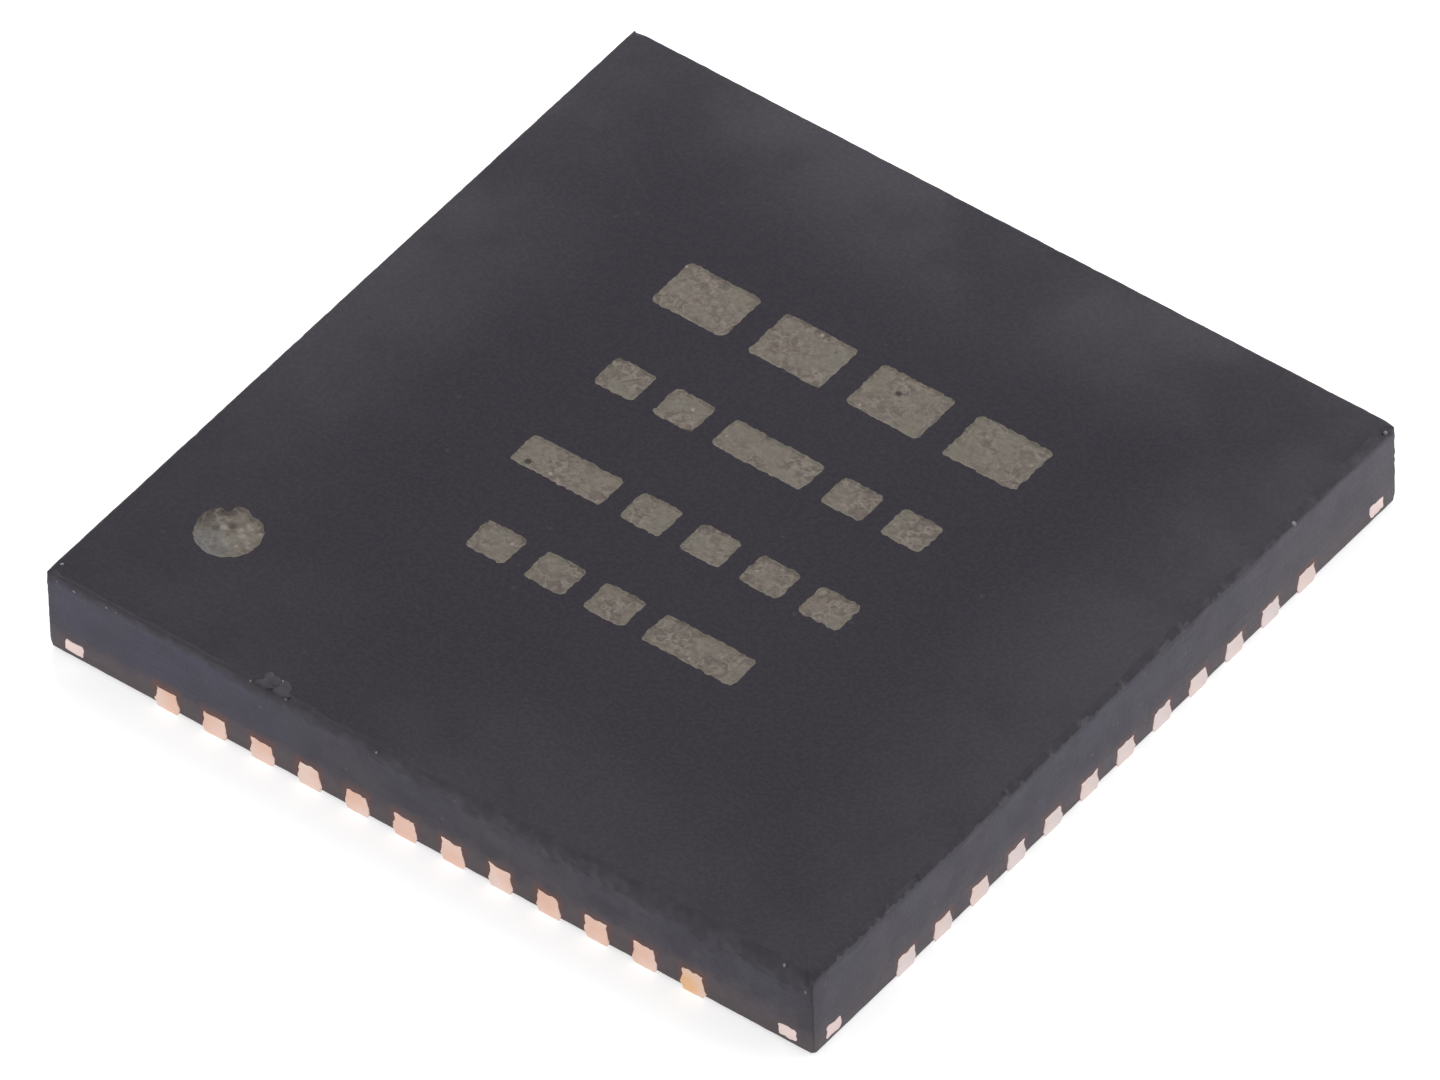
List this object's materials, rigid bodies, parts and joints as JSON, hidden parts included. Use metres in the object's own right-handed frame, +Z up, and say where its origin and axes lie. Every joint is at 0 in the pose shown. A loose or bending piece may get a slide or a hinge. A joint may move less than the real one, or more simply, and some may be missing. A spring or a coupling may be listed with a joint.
{
  "type": "usb interface chip",
  "caption": "Square leadless surface-mount chip: moulded black body with sawn copper lead ends along its lower edges, an exposed pad below, and a die with bond wires inside.",
  "frame": {"origin": "on the soldered plane, under the middle of the square body", "axes": "+Z up through the top face; pins 1 to 12 lie along the -Y side from -X to +X, and the count goes on anticlockwise seen from above"},
  "size_m": [0.008, 0.008, 0.0009],
  "materials": {
    "mould": "matte moulded top, sawn sides",
    "lead": "bare sawn copper, tinned below",
    "paddle": "bare sawn copper, tinned below",
    "adhesive": "silver-filled epoxy",
    "silicon": "polished silicon",
    "wire": "drawn copper wire"
  },
  "bodies": {
    "root": {"mould_body": "mould", "die_paddle": "paddle", "die_attach": "adhesive", "silicon_die": "silicon", "bond_wires": "wire", "lead_01": "lead", "lead_02": "lead", "lead_03": "lead", "lead_04": "lead", "lead_05": "lead", "lead_06": "lead", "lead_07": "lead", "lead_08": "lead", "lead_09": "lead", "lead_10": "lead", "lead_11": "lead", "lead_12": "lead", "lead_13": "lead", "lead_14": "lead", "lead_15": "lead", "lead_16": "lead", "lead_17": "lead", "lead_18": "lead", "lead_19": "lead", "lead_20": "lead", "lead_21": "lead", "lead_22": "lead", "lead_23": "lead", "lead_24": "lead", "lead_25": "lead", "lead_26": "lead", "lead_27": "lead", "lead_28": "lead", "lead_29": "lead", "lead_30": "lead", "lead_31": "lead", "lead_32": "lead", "lead_33": "lead", "lead_34": "lead", "lead_35": "lead", "lead_36": "lead", "lead_37": "lead", "lead_38": "lead", "lead_39": "lead", "lead_40": "lead", "lead_41": "lead", "lead_42": "lead", "lead_43": "lead", "lead_44": "lead", "lead_45": "lead", "lead_46": "lead", "lead_47": "lead", "lead_48": "lead"}
  },
  "joints": []
}
